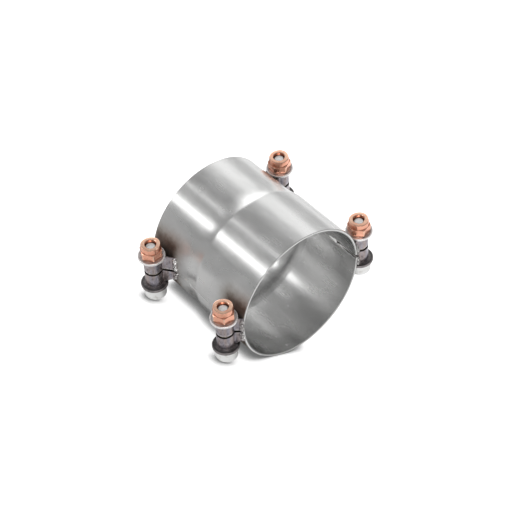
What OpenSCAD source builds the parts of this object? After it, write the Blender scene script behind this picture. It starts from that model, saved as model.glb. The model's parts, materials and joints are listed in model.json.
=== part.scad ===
// Bolted sleeve clamp that joins two exhaust pipe ends.
// Each piece is drawn about the tube's axis, which is X, with the near end at +X, the back at +Y
// and the bolts along Z, nuts up. placed() then lays the sleeve on the ground as it comes to rest:
// rolled towards its front, on the tube's underside and on the heads of the two front screws.

/* [Sleeve] */
// Outside diameter of the near half of the tube
near_outer_d = 86; // [70:0.5:110]
// Depth of the joggle: how much the far half's radius is smaller than the near half's
joggle_depth = 1.5; // [0.5:0.1:4]
// Thickness of the sheet that the shells are pressed from
wall = 1.5; // [0.8:0.1:3]
// Length of the sleeve along the tube
sleeve_len = 82; // [70:1:130]
// Place of the middle of the joggle, from mid-length towards the near end
joggle_x = -3.5; // [-8:0.5:8]
// Length of the joggle along the tube
joggle_len = 5.5; // [2:0.5:10]
// Gap between the two shells along the front seam
front_gap = 0.2; // [0.1:0.1:3]
// Gap between the two shells along the back seam
back_gap = 1.5; // [0.2:0.1:4]

/* [Lugs] */
// Distance of each bolt axis from the near half's outside, across the tube
bolt_standoff = 6.9; // [6.4:0.1:9]
// Height of each lug along its bolt
lug_h = 9.8; // [6:0.1:12]
// Gap between an upper lug and the lower lug below it
lug_gap = 1.2; // [0.4:0.1:3]
// Thickness of the strip that each lug is bent from
strip_t = 1.0; // [0.6:0.1:1.8]
// Radial clearance between a bolt's shank and the loop round it
loop_clearance = 0.25; // [0.1:0.05:0.8]
// Distance from the bolt axis to the outside of a free leg at its foot, along the tube
foot_reach = 8; // [6.5:0.1:10]
// Least distance from a leg's foot to the end of the sleeve, which the weld bead fills
foot_margin = 1.2; // [0.4:0.1:2]
// Radius of the weld bead beside each leg
bead_r = 1.4; // [0.8:0.1:1.8]
// Distance from a leg's outside to the middle of its bead
bead_offset = 0.7; // [0.4:0.1:1]
// How far the bead stops short of the lug's top and bottom edges
bead_margin = 0.4; // [0.2:0.1:1.5]

/* [Bolt places, each measured from the nearest end of the sleeve] */
// Front bolt at the far end
front_far_inset = 9.9; // [6:0.1:14]
// Front bolt at the near end
front_near_inset = 7.6; // [6:0.1:14]
// Back bolt at the far end
back_far_inset = 6.0; // [5.6:0.1:14]
// Back bolt at the near end
back_near_inset = 6.2; // [5.6:0.1:14]

/* [Screws and washers] */
// Diameter of the screw's shank
screw_d = 8; // [6:0.5:10]
// Length of the screw under its head
screw_len = 31; // [28:0.5:36]
// Chamfer at the screw's end
end_chamfer = 0.8; // [0.3:0.1:1.2]
// Diameter of the screw's head
head_d = 13; // [11:0.5:15]
// Height of the screw's head
head_h = 8; // [5:0.5:10]
// Radius that rounds the head's outer edge
head_edge_r = 1.0; // [0.3:0.1:1.5]
// Width across the flats of the socket in the head
socket_af = 6; // [4:0.5:7]
// Depth of the socket in the head
socket_depth = 4; // [2:0.5:4.5]
// Diameter of each washer
washer_d = 16; // [14:0.5:17]
// Thickness of each washer
washer_t = 1.6; // [1:0.1:2.5]
// Radial clearance between the shank and a washer's hole
washer_clearance = 0.2; // [0.1:0.05:0.6]

/* [Lock nuts] */
// Width across the flats of the hexagon
nut_af = 12; // [11.5:0.5:15]
// Height of the hexagon
hex_h = 5.3; // [4:0.1:8]
// Height of the round crown above the hexagon
crown_h = 3.5; // [2:0.1:5]
// How much smaller the crown is than the width across the flats
crown_relief = 0.3; // [0.1:0.1:1]
// Chamfer round the crown's top
crown_chamfer = 0.5; // [0.2:0.1:0.9]
// Width of the countersink at the crown's mouth
countersink_w = 0.9; // [0.3:0.1:1.2]
// Radial running clearance between the nut and the screw
nut_clearance = 0.05; // [0.02:0.01:0.1]

/* [Hidden] */
$fn = 96;
JOGGLE_STEPS = 12;
LOOP_STEPS = 24;
EDGE_STEPS = 6;
CUT = 1;
HEX_CHAMFER_SLOPE = tan(60);

near_r = near_outer_d / 2;
far_r = near_r - joggle_depth;
half_len = sleeve_len / 2;
axis_z = near_r;
bolt_y = near_r + bolt_standoff;

// Heights from the tube's axis
lug_top = lug_gap / 2 + lug_h;
seat_z = lug_top + washer_t;

shank_r = screw_d / 2;
head_r = head_d / 2;
loop_r = shank_r + loop_clearance;
loop_outer_r = loop_r + strip_t;
crown_r = (nut_af - crown_relief) / 2;
thread_r = shank_r + nut_clearance;
washer_hole_r = shank_r + washer_clearance;

// The middle of the round on a front head's outer edge, across and below the tube's axis, and
// how far the sleeve rolls until that edge touches the ground
head_edge = [bolt_y + head_r - head_edge_r, seat_z + head_h - head_edge_r];
rest_roll = asin((near_r - head_edge_r) / norm(head_edge)) - atan2(head_edge[1], head_edge[0]);

// Each corner: name, end (1 near, -1 far), side (-1 front, 1 back), inset, angle of a nut corner
CORNERS = [
    ["front_far", -1, -1, front_far_inset, 34],
    ["front_near", 1, -1, front_near_inset, 24],
    ["back_far", -1, 1, back_far_inset, 54],
    ["back_near", 1, 1, back_near_inset, 44],
];
CORNER_PIECES = [
    "upper_lug", "lower_lug", "upper_welds", "lower_welds",
    "cap_screw", "head_washer", "nut_washer", "lock_nut",
];

function corner_end(c) = c[1];
function corner_side(c) = c[2];
function corner_inset(c) = c[3];
function nut_angle(c) = c[4];
function bolt_x(c) = corner_end(c) * (half_len - corner_inset(c));
function tube_r(c) = corner_end(c) > 0 ? near_r : far_r;

// Outside radius of the tube, with a smooth S between the two diameters
function joggle_share(x) = min(1, max(0, (x - joggle_x) / joggle_len + 0.5));
function outer_r(x) = far_r + joggle_depth * (1 - cos(180 * joggle_share(x))) / 2;

// Where a leg's outer face meets the tube, beside the bolt: towards the middle or the end
function reach_inward() = foot_reach;
function reach_endward(c) = min(foot_reach, corner_inset(c) - foot_margin);
function foot_point(c, reach) = [reach, bolt_y - tube_r(c)];

// Where the line from a leg's foot just touches the loop's outside, as an angle
function touch_angle(p) = atan2(p[1], p[0]) - acos(loop_outer_r / norm(p));
function on_circle(r, angle) = r * [cos(angle), sin(angle)];

// The outer end of a leg, run on through the tube's wall at the lug's far edge
function leg_end(c, reach) =
    let (
        foot = foot_point(c, reach),
        start = on_circle(loop_outer_r, touch_angle(foot)),
        rise = foot[1] + tube_r(c) - sqrt(pow(tube_r(c), 2) - pow(lug_top, 2)) + CUT - start[1]
    )
    start + (foot - start) * rise / (foot[1] - start[1]);

// One face of the bent strip seen along the bolt, inset from the strip's outside:
// down the inward leg, round the bolt and up the endward leg
function strip_face(c, inset) =
    let (
        inward = touch_angle(foot_point(c, reach_inward())),
        endward = touch_angle(foot_point(c, reach_endward(c))),
        inward_end = leg_end(c, reach_inward()) - on_circle(inset, inward),
        endward_end = leg_end(c, reach_endward(c)) - on_circle(inset, endward),
        step = (inward + 180 + endward) / LOOP_STEPS
    )
    concat(
        [inward_end],
        [for (i = [0 : LOOP_STEPS]) on_circle(loop_outer_r - inset, inward - i * step)],
        [[-endward_end[0], endward_end[1]]]
    );
function reversed(list) = [for (i = [len(list) - 1 : -1 : 0]) list[i]];

module placed() {
    translate([0, 0, axis_z]) rotate([rest_roll, 0, 0]) children();
}

// Moves to a bolt's axis, with +Y towards the tube and +X towards the sleeve's middle
module at_bolt(c) {
    translate([bolt_x(c), corner_side(c) * bolt_y, 0])
        mirror([corner_end(c) > 0 ? 1 : 0, 0, 0])
            mirror([0, corner_side(c) > 0 ? 1 : 0, 0])
                children();
}

// Turns a shape drawn for the upper half into one for the lower half
module at_level(level) {
    mirror([0, 0, level < 0 ? 1 : 0]) children();
}

module about_x() {
    rotate([0, 90, 0]) children();
}

module tube() {
    joggle_start = joggle_x - joggle_len / 2;
    xs = concat(
        [-half_len],
        [for (i = [0 : JOGGLE_STEPS]) joggle_start + joggle_len * i / JOGGLE_STEPS],
        [half_len]
    );
    outside = [for (x = xs) [outer_r(x), x]];
    inside = [for (x = xs) [outer_r(x) - wall, x]];
    about_x() rotate_extrude() polygon(concat(outside, reversed(inside)));
}

// Everything on the other side of the seam, with each seam's gap
module beyond_seam(level) {
    reach = near_r + CUT;
    width = sleeve_len + 2 * CUT;
    at_level(level) {
        translate([-width / 2, -reach, -reach]) cube([width, reach, reach + front_gap / 2]);
        translate([-width / 2, 0, -reach]) cube([width, reach, reach + back_gap / 2]);
    }
}

module half_shell(level) {
    difference() {
        tube();
        beyond_seam(level);
    }
}

module tube_body(c) {
    about_x() cylinder(r = tube_r(c), h = 2 * sleeve_len, center = true);
}

// A flat outline raised to a lug's height, where the lug is
module at_lug(c, level) {
    at_level(level) at_bolt(c)
        translate([0, 0, lug_gap / 2]) linear_extrude(lug_h) children();
}

module lug(c, level) {
    difference() {
        at_lug(c, level) polygon(concat(strip_face(c, 0), reversed(strip_face(c, strip_t))));
        tube_body(c);
    }
}

// A round bead along the corner between a leg's outside and the tube
module bead(c, x) {
    height = lug_h - 2 * bead_margin;
    depth = tube_r(c) + bead_r;
    intersection() {
        translate([x, 0, 0]) about_x()
            rotate_extrude() translate([tube_r(c), 0]) circle(r = bead_r, $fn = 32);
        translate([-half_len, corner_side(c) > 0 ? 0 : -depth, lug_gap / 2 + bead_margin])
            cube([sleeve_len, depth, height]);
    }
}

module welds(c, level) {
    difference() {
        at_level(level) {
            bead(c, bolt_x(c) - corner_end(c) * (reach_inward() + bead_offset));
            bead(c, bolt_x(c) + corner_end(c) * (reach_endward(c) + bead_offset));
        }
        tube_body(c);
        at_lug(c, level) polygon(strip_face(c, 0));
    }
}

module head_profile() {
    corner = [head_r - head_edge_r, head_edge_r];
    polygon(concat(
        [[0, head_h], [0, 0]],
        [for (i = [0 : EDGE_STEPS]) corner
            + head_edge_r * [sin(90 * i / EDGE_STEPS), -cos(90 * i / EDGE_STEPS)]],
        [[head_r, head_h]]
    ));
}

module cap_screw(c) {
    translate([bolt_x(c), corner_side(c) * bolt_y, -seat_z]) {
        difference() {
            translate([0, 0, -head_h]) rotate_extrude() head_profile();
            translate([0, 0, -head_h - CUT])
                cylinder(d = socket_af / cos(30), h = socket_depth + CUT, $fn = 6);
        }
        cylinder(r = shank_r, h = screw_len - end_chamfer);
        translate([0, 0, screw_len - end_chamfer])
            cylinder(r1 = shank_r, r2 = shank_r - end_chamfer, h = end_chamfer);
    }
}

module washer(c, z) {
    translate([bolt_x(c), corner_side(c) * bolt_y, z])
        rotate_extrude() translate([washer_hole_r, 0])
            square([washer_d / 2 - washer_hole_r, washer_t]);
}

module hexagon() {
    intersection() {
        cylinder(d = nut_af / cos(30), h = hex_h, $fn = 6);
        cylinder(r1 = nut_af / 2 + hex_h * HEX_CHAMFER_SLOPE, r2 = nut_af / 2, h = hex_h);
    }
}

module crown() {
    cylinder(r = crown_r, h = crown_h - crown_chamfer);
    translate([0, 0, crown_h - crown_chamfer])
        cylinder(r1 = crown_r, r2 = crown_r - crown_chamfer, h = crown_chamfer);
}

module lock_nut(c) {
    nut_h = hex_h + crown_h;
    translate([bolt_x(c), corner_side(c) * bolt_y, seat_z]) rotate([0, 0, nut_angle(c)])
        difference() {
            union() {
                hexagon();
                translate([0, 0, hex_h]) crown();
            }
            translate([0, 0, -CUT]) cylinder(r = thread_r, h = nut_h + 2 * CUT);
            translate([0, 0, nut_h - countersink_w])
                cylinder(r1 = thread_r, r2 = thread_r + countersink_w, h = countersink_w);
        }
}

module upper_half_shell() {
    placed() color("silver") half_shell(1);
}

module lower_half_shell() {
    placed() color("silver") half_shell(-1);
}

module corner_piece(piece, c) {
    placed() {
        if (piece == "upper_lug") color("dimgray") lug(c, 1);
        if (piece == "lower_lug") color("dimgray") lug(c, -1);
        if (piece == "upper_welds") color("slategray") welds(c, 1);
        if (piece == "lower_welds") color("slategray") welds(c, -1);
        if (piece == "cap_screw") color("whitesmoke") cap_screw(c);
        if (piece == "head_washer") color("gray") washer(c, -seat_z);
        if (piece == "nut_washer") color("lightgray") washer(c, lug_top);
        if (piece == "lock_nut") color("salmon") lock_nut(c);
    }
}

upper_half_shell();
lower_half_shell();
for (piece = CORNER_PIECES, c = CORNERS)
    corner_piece(piece, c);
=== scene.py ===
"""Exhaust pipe sleeve: two stepped half shells of thin satin stainless, which four screws draw
together through lugs bent from strip and welded on, with copper-coloured lock nuts."""

import json
import random
from math import acos, asin, atan2, cos, hypot, pi, radians, sin, sqrt, tan

import bmesh
import bpy
from mathutils import Matrix, Vector, noise


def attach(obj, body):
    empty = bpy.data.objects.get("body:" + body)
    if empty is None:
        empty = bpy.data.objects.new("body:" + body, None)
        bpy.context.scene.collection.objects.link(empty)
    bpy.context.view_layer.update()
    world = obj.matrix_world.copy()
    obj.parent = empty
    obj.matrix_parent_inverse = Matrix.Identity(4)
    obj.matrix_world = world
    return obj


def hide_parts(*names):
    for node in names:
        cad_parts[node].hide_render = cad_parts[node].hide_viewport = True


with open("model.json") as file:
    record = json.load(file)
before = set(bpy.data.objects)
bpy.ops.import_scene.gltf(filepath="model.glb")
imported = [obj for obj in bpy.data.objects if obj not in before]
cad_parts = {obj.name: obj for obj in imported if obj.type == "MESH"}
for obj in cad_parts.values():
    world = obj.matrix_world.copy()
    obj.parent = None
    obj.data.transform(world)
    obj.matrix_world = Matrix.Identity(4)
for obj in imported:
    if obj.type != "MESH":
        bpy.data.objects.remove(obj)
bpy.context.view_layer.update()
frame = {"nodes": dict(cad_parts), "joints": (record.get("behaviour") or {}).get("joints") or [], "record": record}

bl_info = {
    "name": "Exhaust pipe sleeve",
    "version": (1, 0, 0),
    "blender": (4, 5, 0),
    "location": "View3D > Sidebar > Sleeve",
    "description": "Makes a bolted exhaust pipe sleeve, its finishes and its stage",
    "category": "Object",
}

MM = 0.001
ALONG, UPRIGHT = (1, 0, 0), (0, 0, 1)

# Corners closer than MERGE are one, and a pole starts as a ring of radius POLE.
MERGE, POLE = 1e-6, 1e-5
# Edges that turn by more degrees than this are cut edges, which wear round.
SHARP = 60
# Faces round a turned part.
TURNED_STEPS = 72
# Features of noise to the metre: along the seam's edge, along and round the sheet, on strip and bead.
SEAM_NOISE, SHEET_NOISE, ROUND_NOISE, STRIP_NOISE, BEAD_NOISE = 420, 22, 45, 190, 520

CORNERS = ("front_far", "front_near", "back_far", "back_near")
LEVELS = {"upper": 1, "lower": -1}


def mount(name):
    return next(m for m in frame["record"]["mounts"] if m["name"] == name)


def joint(name):
    return next(j for j in frame["joints"] if j["name"] == name)


# The sleeve's own frame has the tube's axis as X, the back as +Y and the bolts along Z, nuts up.
# In the row frame it lies rolled towards its front, as it comes to rest.
LIFT_AXIS = Vector(joint("upper_half_lift")["axis"])
ROLL = atan2(-LIFT_AXIS.y, LIFT_AXIS.z)
AXIS_HEIGHT = mount("near_bore")["pos_m"][2]
SLEEVE_TO_ROW = Matrix.Translation((0, 0, AXIS_HEIGHT)) @ Matrix.Rotation(ROLL, 4, "X")
ROW_TO_SLEEVE = SLEEVE_TO_ROW.inverted()


def own_points(node):
    """A CAD node's corners in the sleeve's own frame."""
    return [ROW_TO_SLEEVE @ v.co for v in frame["nodes"][node].data.vertices]


def own_box(node):
    """The lowest and highest corner of a CAD node in the sleeve's own frame."""
    points = own_points(node)
    low = Vector([min(p[i] for p in points) for i in range(3)])
    high = Vector([max(p[i] for p in points) for i in range(3)])
    return low, high


def bore(name):
    """Radius and ends along the tube of one bore of the sleeve."""
    m = mount(name)
    half = m["dims"]["length_mm"] * MM / 2
    return m["dims"]["r_mm"] * MM, m["pos_m"][0] - half, m["pos_m"][0] + half


NEAR_BORE_R, JOGGLE_NEAR_X, NEAR_X = bore("near_bore")
FAR_BORE_R, FAR_X, JOGGLE_FAR_X = bore("far_bore")
WALL = AXIS_HEIGHT - NEAR_BORE_R
NEAR_R = NEAR_BORE_R + WALL
FAR_R = FAR_BORE_R + WALL

SCREW_LOW, SCREW_HIGH = own_box("cap_screw_front_near")
WASHER_LOW, WASHER_HIGH = own_box("nut_washer_front_near")
NUT_LOW, NUT_HIGH = own_box("lock_nut_front_near")
LUG_LOW, LUG_HIGH = own_box("upper_lug_front_near")
WELD_LOW, WELD_HIGH = own_box("upper_welds_front_near")
SEAT_Z = WASHER_HIGH.z


class Bolt:
    """Where one bolt stands: its place across the tube and what the tube is like beside it."""

    def __init__(self, corner):
        place = ROW_TO_SLEEVE @ Vector(joint(f"nut_{corner}_turn")["pos_m"])
        self.corner = corner
        self.x, self.y = place.x, place.y
        self.end = 1 if self.x > 0 else -1
        self.side = 1 if self.y > 0 else -1
        self.tube_r = NEAR_R if self.end > 0 else FAR_R
        self.to_end = (NEAR_X if self.end > 0 else -FAR_X) - abs(self.x)
        self.seed = CORNERS.index(corner)

    def matrix(self, level):
        """Places a shape drawn with +Y towards the tube and +X towards the sleeve's middle."""
        flips = Matrix.Diagonal((-self.end, -self.side, level, 1))
        return Matrix.Translation((self.x, self.y, 0)) @ flips

    def nut_angle(self):
        """The direction of one corner of this bolt's nut, read from its CAD node."""
        points = own_points(f"lock_nut_{self.corner}")
        far = max(points, key=lambda p: hypot(p.x - self.x, p.y - self.y))
        return atan2(far.y - self.y, far.x - self.x)


BOLTS = [Bolt(corner) for corner in CORNERS]


def length(name, description, default):
    """A size in metres."""
    return bpy.props.FloatProperty(
        name=name, description=description, default=default, unit="LENGTH", precision=5)


def color(name, description, default):
    return bpy.props.FloatVectorProperty(
        name=name, description=description, default=default, size=3, subtype="COLOR", min=0, max=1)


def count(name, description, default):
    return bpy.props.IntProperty(name=name, description=description, default=default, min=1)


def factor(name, description, default):
    return bpy.props.FloatProperty(
        name=name, description=description, default=default, subtype="FACTOR", min=0, max=1)


def degrees(name, description, default):
    return bpy.props.FloatProperty(
        name=name, description=description, default=radians(default), subtype="ANGLE")


def brightness(name, description, default):
    """A brightness, of which 1 is white."""
    return bpy.props.FloatProperty(name=name, description=description, default=default, min=0)


class SleeveShellSettings(bpy.types.PropertyGroup):
    front_gap: length("Front gap", "Gap between the two shells along the front seam", 0.2 * MM)
    back_gap: length("Back gap", "Gap between the two shells along most of the back seam", 0.3 * MM)
    edge_round: length("Edge round", "Width of the round on the sheet's cut edges", 0.22 * MM)
    unevenness: length("Unevenness", "How far the pressed sheet strays inwards", 0.07 * MM)
    flare: length("Flare", "How far the back seam opens on each side at the near end", 1.1 * MM)
    rag: length("Rag", "How far the back seam's edge strays at the near end", 0.6 * MM)
    flare_from: length("Flare start", "Where along the tube the back seam starts to widen", 16 * MM)
    flare_run: length("Flare run", "How far the back seam goes on widening", 7 * MM)
    flare_fade: degrees("Flare fade", "How far round the tube the sheet shifts with that edge", 10)
    margin: length("Margin", "From a cut end to the next row of faces", 0.8 * MM)
    step: length("Step", "Length of a face along the tube", 1.7 * MM)
    sweep: length("Sweep", "Length of the joggle's concave sweep", 11.0 * MM)
    shoulder: length("Shoulder", "Length of the joggle's convex shoulder", 2.2 * MM)
    shoulder_past: length("Shoulder end", "How far the shoulder ends into the near bore", 2.05 * MM)
    inner_shoulder: length("Inner shoulder", "Length of the joggle's shoulder inside the tube", 5.5 * MM)
    joggle_step: length("Joggle step", "Length of a face along the joggle", 0.5 * MM)
    steps: count("Steps", "Faces round each half shell", 150)
    steel: color("Steel", "Colour of the bare satin stainless", (0.66, 0.66, 0.655))
    roughness: factor("Roughness", "Roughness of the satin stainless", 0.24)
    # Cut is the pale colour of bare cut metal and partly a painted highlight, on the cut ends and along the back
    # seam's near end.
    cut: color("Cut ends", "Colour of the sheet's bright cut ends", (0.90, 0.90, 0.89))
    # The two tint colours and the four sizes below paint a tint beside the lugs that is partly heat tint and
    # partly painted shade of the nuts.
    scorch_and_shade: color("Scorch", "Colour of the heat tint beside a weld", (0.16, 0.12, 0.10))
    straw_and_shade: color("Straw", "Colour of the fading heat tint further out", (0.40, 0.37, 0.335))
    front_tint_and_shade: length("Front smudge", "How high the heat tint reaches beside the front lugs", 15 * MM)
    back_tint_and_shade: length("Back smudge", "How high the heat tint reaches beside the back lugs", 7 * MM)
    tint_and_shade_run: length("Smudge run", "How far along the tube the heat tint is full", 6.5 * MM)
    tint_and_shade_depth: length("Smudge depth", "How deep into the tube the heat tint is full", 4 * MM)


class SleeveLugSettings(bpy.types.PropertyGroup):
    loop_r: length("Loop radius", "Outside radius of the loop", 5.25 * MM)
    strip_t: length("Strip", "Thickness of the strip", 1.0 * MM)
    wrap: degrees("Wrap", "How far past its side the loop goes on towards the tube", 36)
    bend_r: length("Bend radius", "Outside radius of the bend from the loop to a leg", 0.8 * MM)
    foot_reach: length("Foot reach", "From the bolt's axis to the outside of a leg's foot", 9.0 * MM)
    foot_margin: length("Foot margin", "Least distance from a foot to the sleeve's end", 1.0 * MM)
    edge_gap: length("Edge gap", "How far the strip's edge stands back at the seam", 0.2 * MM)
    splay: length("Splay", "How much further the inner leg's foot reaches at the seam", 1.6 * MM)
    upper_taper: factor("Upper taper", "Share of its height that an upper leg loses at its foot", 0.06)
    lower_taper: factor("Lower taper", "Share of its height that a lower leg loses at its foot", 0.3)
    sink: length("Sink", "How deep the feet's ends lie in the tube's face", 0.25 * MM)
    edge_round: length("Edge round", "Width of the worn round on the strip's edges", 0.16 * MM)
    unevenness: length("Unevenness", "How far the hand-bent strip strays", 0.09 * MM)
    seed: count("Seed", "Seed of that unevenness, which is the same in every run", 1)
    loop_steps: count("Loop steps", "Faces round the loop", 32)
    bend_steps: count("Bend steps", "Faces round the bend from the loop to a leg", 5)
    leg_steps: count("Leg steps", "Faces along a leg", 5)
    rows: count("Rows", "Faces up the strip", 8)
    strip: color("Strip", "Colour of the heat-darkened strip", (0.45, 0.38, 0.37))
    blush: color("Blush", "Colour of its purple-blue heat bloom", (0.40, 0.38, 0.43))
    # This colour is the strip's random dark mottling, and, darker still, the painted shade at the lower lug's seam
    # edge.
    burn_and_shade: color("Burn", "Colour of its darkest mottling", (0.12, 0.10, 0.10))
    # Edge is the colour of the painted highlights on chosen edges and of the strip's random pale mottling.
    edge: color("Edge", "Colour of its worn edges", (0.90, 0.87, 0.85))


class SleeveWeldSettings(bpy.types.PropertyGroup):
    bead_r: length("Bead radius", "Radius of a weld bead", 1.6 * MM)
    bead_offset: length("Bead offset", "From a leg's outside to the middle of its bead", 0.4 * MM)
    ripple: length("Ripple", "Distance from one ripple of the bead to the next", 0.9 * MM)
    lump: length("Lump", "Height of the bead's lumps", 0.55 * MM)
    root: length("Root", "How deep the bead lies in the tube's face", 0.3 * MM)
    spatter_r: length("Spatter", "Radius of the largest bead of spatter", 0.4 * MM)
    spatters: count("Spatters", "Beads of spatter beside each lug", 4)
    ring_steps: count("Ring steps", "Faces round a bead", 24)
    run_steps: count("Run steps", "Faces along a bead", 48)
    metal: color("Metal", "Colour of the dull weld metal", (0.26, 0.23, 0.23))
    # Bright is the colour of the weld's painted glints.
    bright: color("Bright", "Colour of its bright spots", (0.95, 0.94, 0.92))


class SleeveScrewSettings(bpy.types.PropertyGroup):
    shank_r: length("Shank radius", "Outside radius of the thread", 3.95 * MM)
    pitch: length("Pitch", "Distance from one turn of the thread to the next", 1.25 * MM)
    thread_depth: length("Thread depth", "From the thread's crest to its root", 0.66 * MM)
    end_chamfer: length("End chamfer", "Chamfer at the screw's end", 1.3 * MM)
    # The end's rim is painted shade, as in the nut's recess.
    end_shade_rim: length("End rim", "Width of the stained rim round the screw's end", 0.35 * MM)
    head_edge_r: length("Head edge", "Radius on the head's outer edge", 1.0 * MM)
    socket_af: length("Socket", "Width across the flats of the socket", 6.0 * MM)
    socket_depth: length("Socket depth", "Depth of the socket", 4.0 * MM)
    socket_cone: length("Socket cone", "Height of the cone at the socket's end", 0.8 * MM)
    socket_lip: length("Socket lip", "Depth of the chamfer at the socket's mouth", 0.3 * MM)
    socket_mouth: length("Socket mouth", "How far the mouth reaches past the socket's corners", 0.1 * MM)
    head_top_chamfer: length("Head chamfer", "Chamfer on the head's edge by the washer", 0.25 * MM)
    edge_steps: count("Edge steps", "Faces across the head's rounded edge", 6)
    turn_steps: count("Turn steps", "Faces round one turn of the thread", 32)
    turn: degrees("Turn", "How far the first screw is turned", 17)
    turn_more: degrees("Further turn", "How much further each next screw is turned", 23)
    zinc: color("Zinc", "Colour of the bright plating", (0.93, 0.93, 0.92))
    speck: color("Specks", "Colour of the stains in the plating", (0.30, 0.24, 0.17))


class SleeveWasherSettings(bpy.types.PropertyGroup):
    hole_r: length("Hole radius", "Radius of a washer's hole", 4.2 * MM)
    edge_round: length("Edge round", "Width of the round on a washer's edges", 0.25 * MM)
    # Bright and dull paint one washer lit and shaded; rim is the lit washers' painted highlight; stain is random
    # stains and painted shade on their faces, and the shaded washers' painted highlight.
    brim: length("Brim", "Width of the bright brim on a washer's faces", 0.7 * MM)
    bright: color("Bright", "Colour of the washers under the nuts", (0.95, 0.92, 0.91))
    rim: color("Rim", "Colour of the rubbed rims of those washers", (1.0, 0.97, 0.96))
    stain: color("Stain", "Colour of those washers' dulled faces", (0.34, 0.31, 0.31))
    dull: color("Dull", "Colour of the washers by the heads", (0.14, 0.14, 0.14))


class SleeveNutSettings(bpy.types.PropertyGroup):
    across_flats: length("Across flats", "Width across the flats of the hexagon", 12 * MM)
    hex_h: length("Hexagon", "Height of the hexagon", 5.3 * MM)
    crown_r: length("Crown radius", "Radius of the round crown", 5.85 * MM)
    crown_round: length("Crown round", "Chamfer round the crown's top", 0.5 * MM)
    # The joint is the height of the painted shade in the corner below the crown.
    joint_shade_h: length("Joint", "Height of the dirt in the corner below the crown", 0.45 * MM)
    mouth: length("Mouth", "Width of the countersink in the crown", 0.45 * MM)
    core_r: length("Core radius", "Radius of the thread's crests above the screw", 3.4 * MM)
    bore_r: length("Bore radius", "Radius of the bore round the screw", 4.05 * MM)
    corner_r: length("Corner radius", "From the middle to the hexagon's corners", 6.85 * MM)
    corner_round: length("Corner round", "Width of the round on the hexagon's corners", 0.3 * MM)
    flat_chamfer: length("Flat chamfer", "Depth of the chamfer at the middle of a flat", 0.15 * MM)
    squeeze: length("Squeeze", "How far the crown is squeezed in to grip the thread", 0.22 * MM)
    lead_in: length("Lead-in", "Chamfer at the bottom of the bore", 0.5 * MM)
    pitch: length("Pitch", "Distance from one turn of the thread to the next", 1.25 * MM)
    thread_depth: length("Thread depth", "Depth of the thread in the bore", 0.5 * MM)
    # Stain is the colour of random stains and of the painted shade in the nut's corners; the last colour is that
    # of the painted highlights on the crown and corners.
    copper: color("Copper", "Colour of the copper flash", (1.0, 0.50, 0.35))
    stain: color("Stain", "Colour of the stain in the nut's corners", (0.34, 0.10, 0.05))
    highlighted: color("Rubbed", "Colour of the rubbed crown and corners", (1.0, 0.66, 0.49))


class SleeveStageSettings(bpy.types.PropertyGroup):
    camera_distance: length("Distance", "From the sleeve's middle to the camera", 1.2911)
    camera_azimuth: degrees("Azimuth", "Camera's turn about the bolts from the near end", -37.40)
    camera_elevation: degrees("Elevation", "Camera's height above the seam's plane", 46.76)
    camera_roll: degrees("Roll", "Camera's turn about its own view", -3.97)
    camera_aim: bpy.props.FloatVectorProperty(
        name="Aim", description="Point that the camera looks at, in the sleeve's own frame",
        default=(0.00034, 0.00019, -0.00012), subtype="TRANSLATION")
    lens: bpy.props.FloatProperty(
        name="Lens", description="Focal length for a sensor of 36 mm, in mm", default=158.2)
    floor_half: length("Floor", "Half the width of the floor", 4.0)
    floor: color("Floor", "Colour of the floor", (0.62, 0.62, 0.62))
    floor_seen: color("Floor seen", "Colour of the floor as the camera sees it", (1.0, 1.0, 1.0))
    floor_fill: brightness("Floor fill", "White added to the floor for the camera alone", 0.75)
    shade_reach: length("Shade reach", "How far the dark contact shade spreads on the floor", 8 * MM)
    shade: factor("Shade", "Brightness left where the contact shade is darkest", 0.15)
    surround: brightness("Surround", "Level of the pale surround that lights the sleeve", 0.42)


def add_node(tree, kind, inputs=None, **settings):
    """Adds a shader node. An input is a value or another node's output."""
    made = tree.nodes.new(kind)
    for name, value in settings.items():
        setattr(made, name, value)
    for name, value in (inputs or {}).items():
        if isinstance(value, bpy.types.NodeSocket):
            tree.links.new(value, made.inputs[name])
        else:
            made.inputs[name].default_value = value
    return made


def math_node(tree, operation, a, b=0.0):
    return add_node(tree, "ShaderNodeMath", {0: a, 1: b}, operation=operation).outputs[0]


def total(tree, a, b):
    return math_node(tree, "ADD", a, b)


def product(tree, a, b):
    return math_node(tree, "MULTIPLY", a, b)


def mix_colors(tree, share, a, b):
    made = add_node(tree, "ShaderNodeMix", data_type="RGBA")
    for socket, value in (("Factor_Float", share), ("A_Color", a), ("B_Color", b)):
        target = next(s for s in made.inputs if s.identifier == socket)
        if isinstance(value, bpy.types.NodeSocket):
            tree.links.new(value, target)
        else:
            target.default_value = value if isinstance(value, float) else (*value, 1)
    return next(s for s in made.outputs if s.identifier == "Result_Color")


def remap(tree, value, low, high, to_low=0.0, to_high=1.0):
    """Takes low..high to to_low..to_high smoothly, and clamps outside it."""
    inputs = {"Value": value, "From Min": low, "From Max": high, "To Min": to_low, "To Max": to_high}
    return add_node(
        tree, "ShaderNodeMapRange", inputs, interpolation_type="SMOOTHSTEP").outputs["Result"]


def own_coordinates(tree):
    """Object coordinates turned into the sleeve's own frame."""
    place = add_node(tree, "ShaderNodeTexCoord").outputs["Object"]
    inputs = {"Vector": place, "Location": (0, 0, AXIS_HEIGHT), "Rotation": (ROLL, 0, 0)}
    return add_node(tree, "ShaderNodeMapping", inputs, vector_type="TEXTURE").outputs["Vector"]


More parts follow.
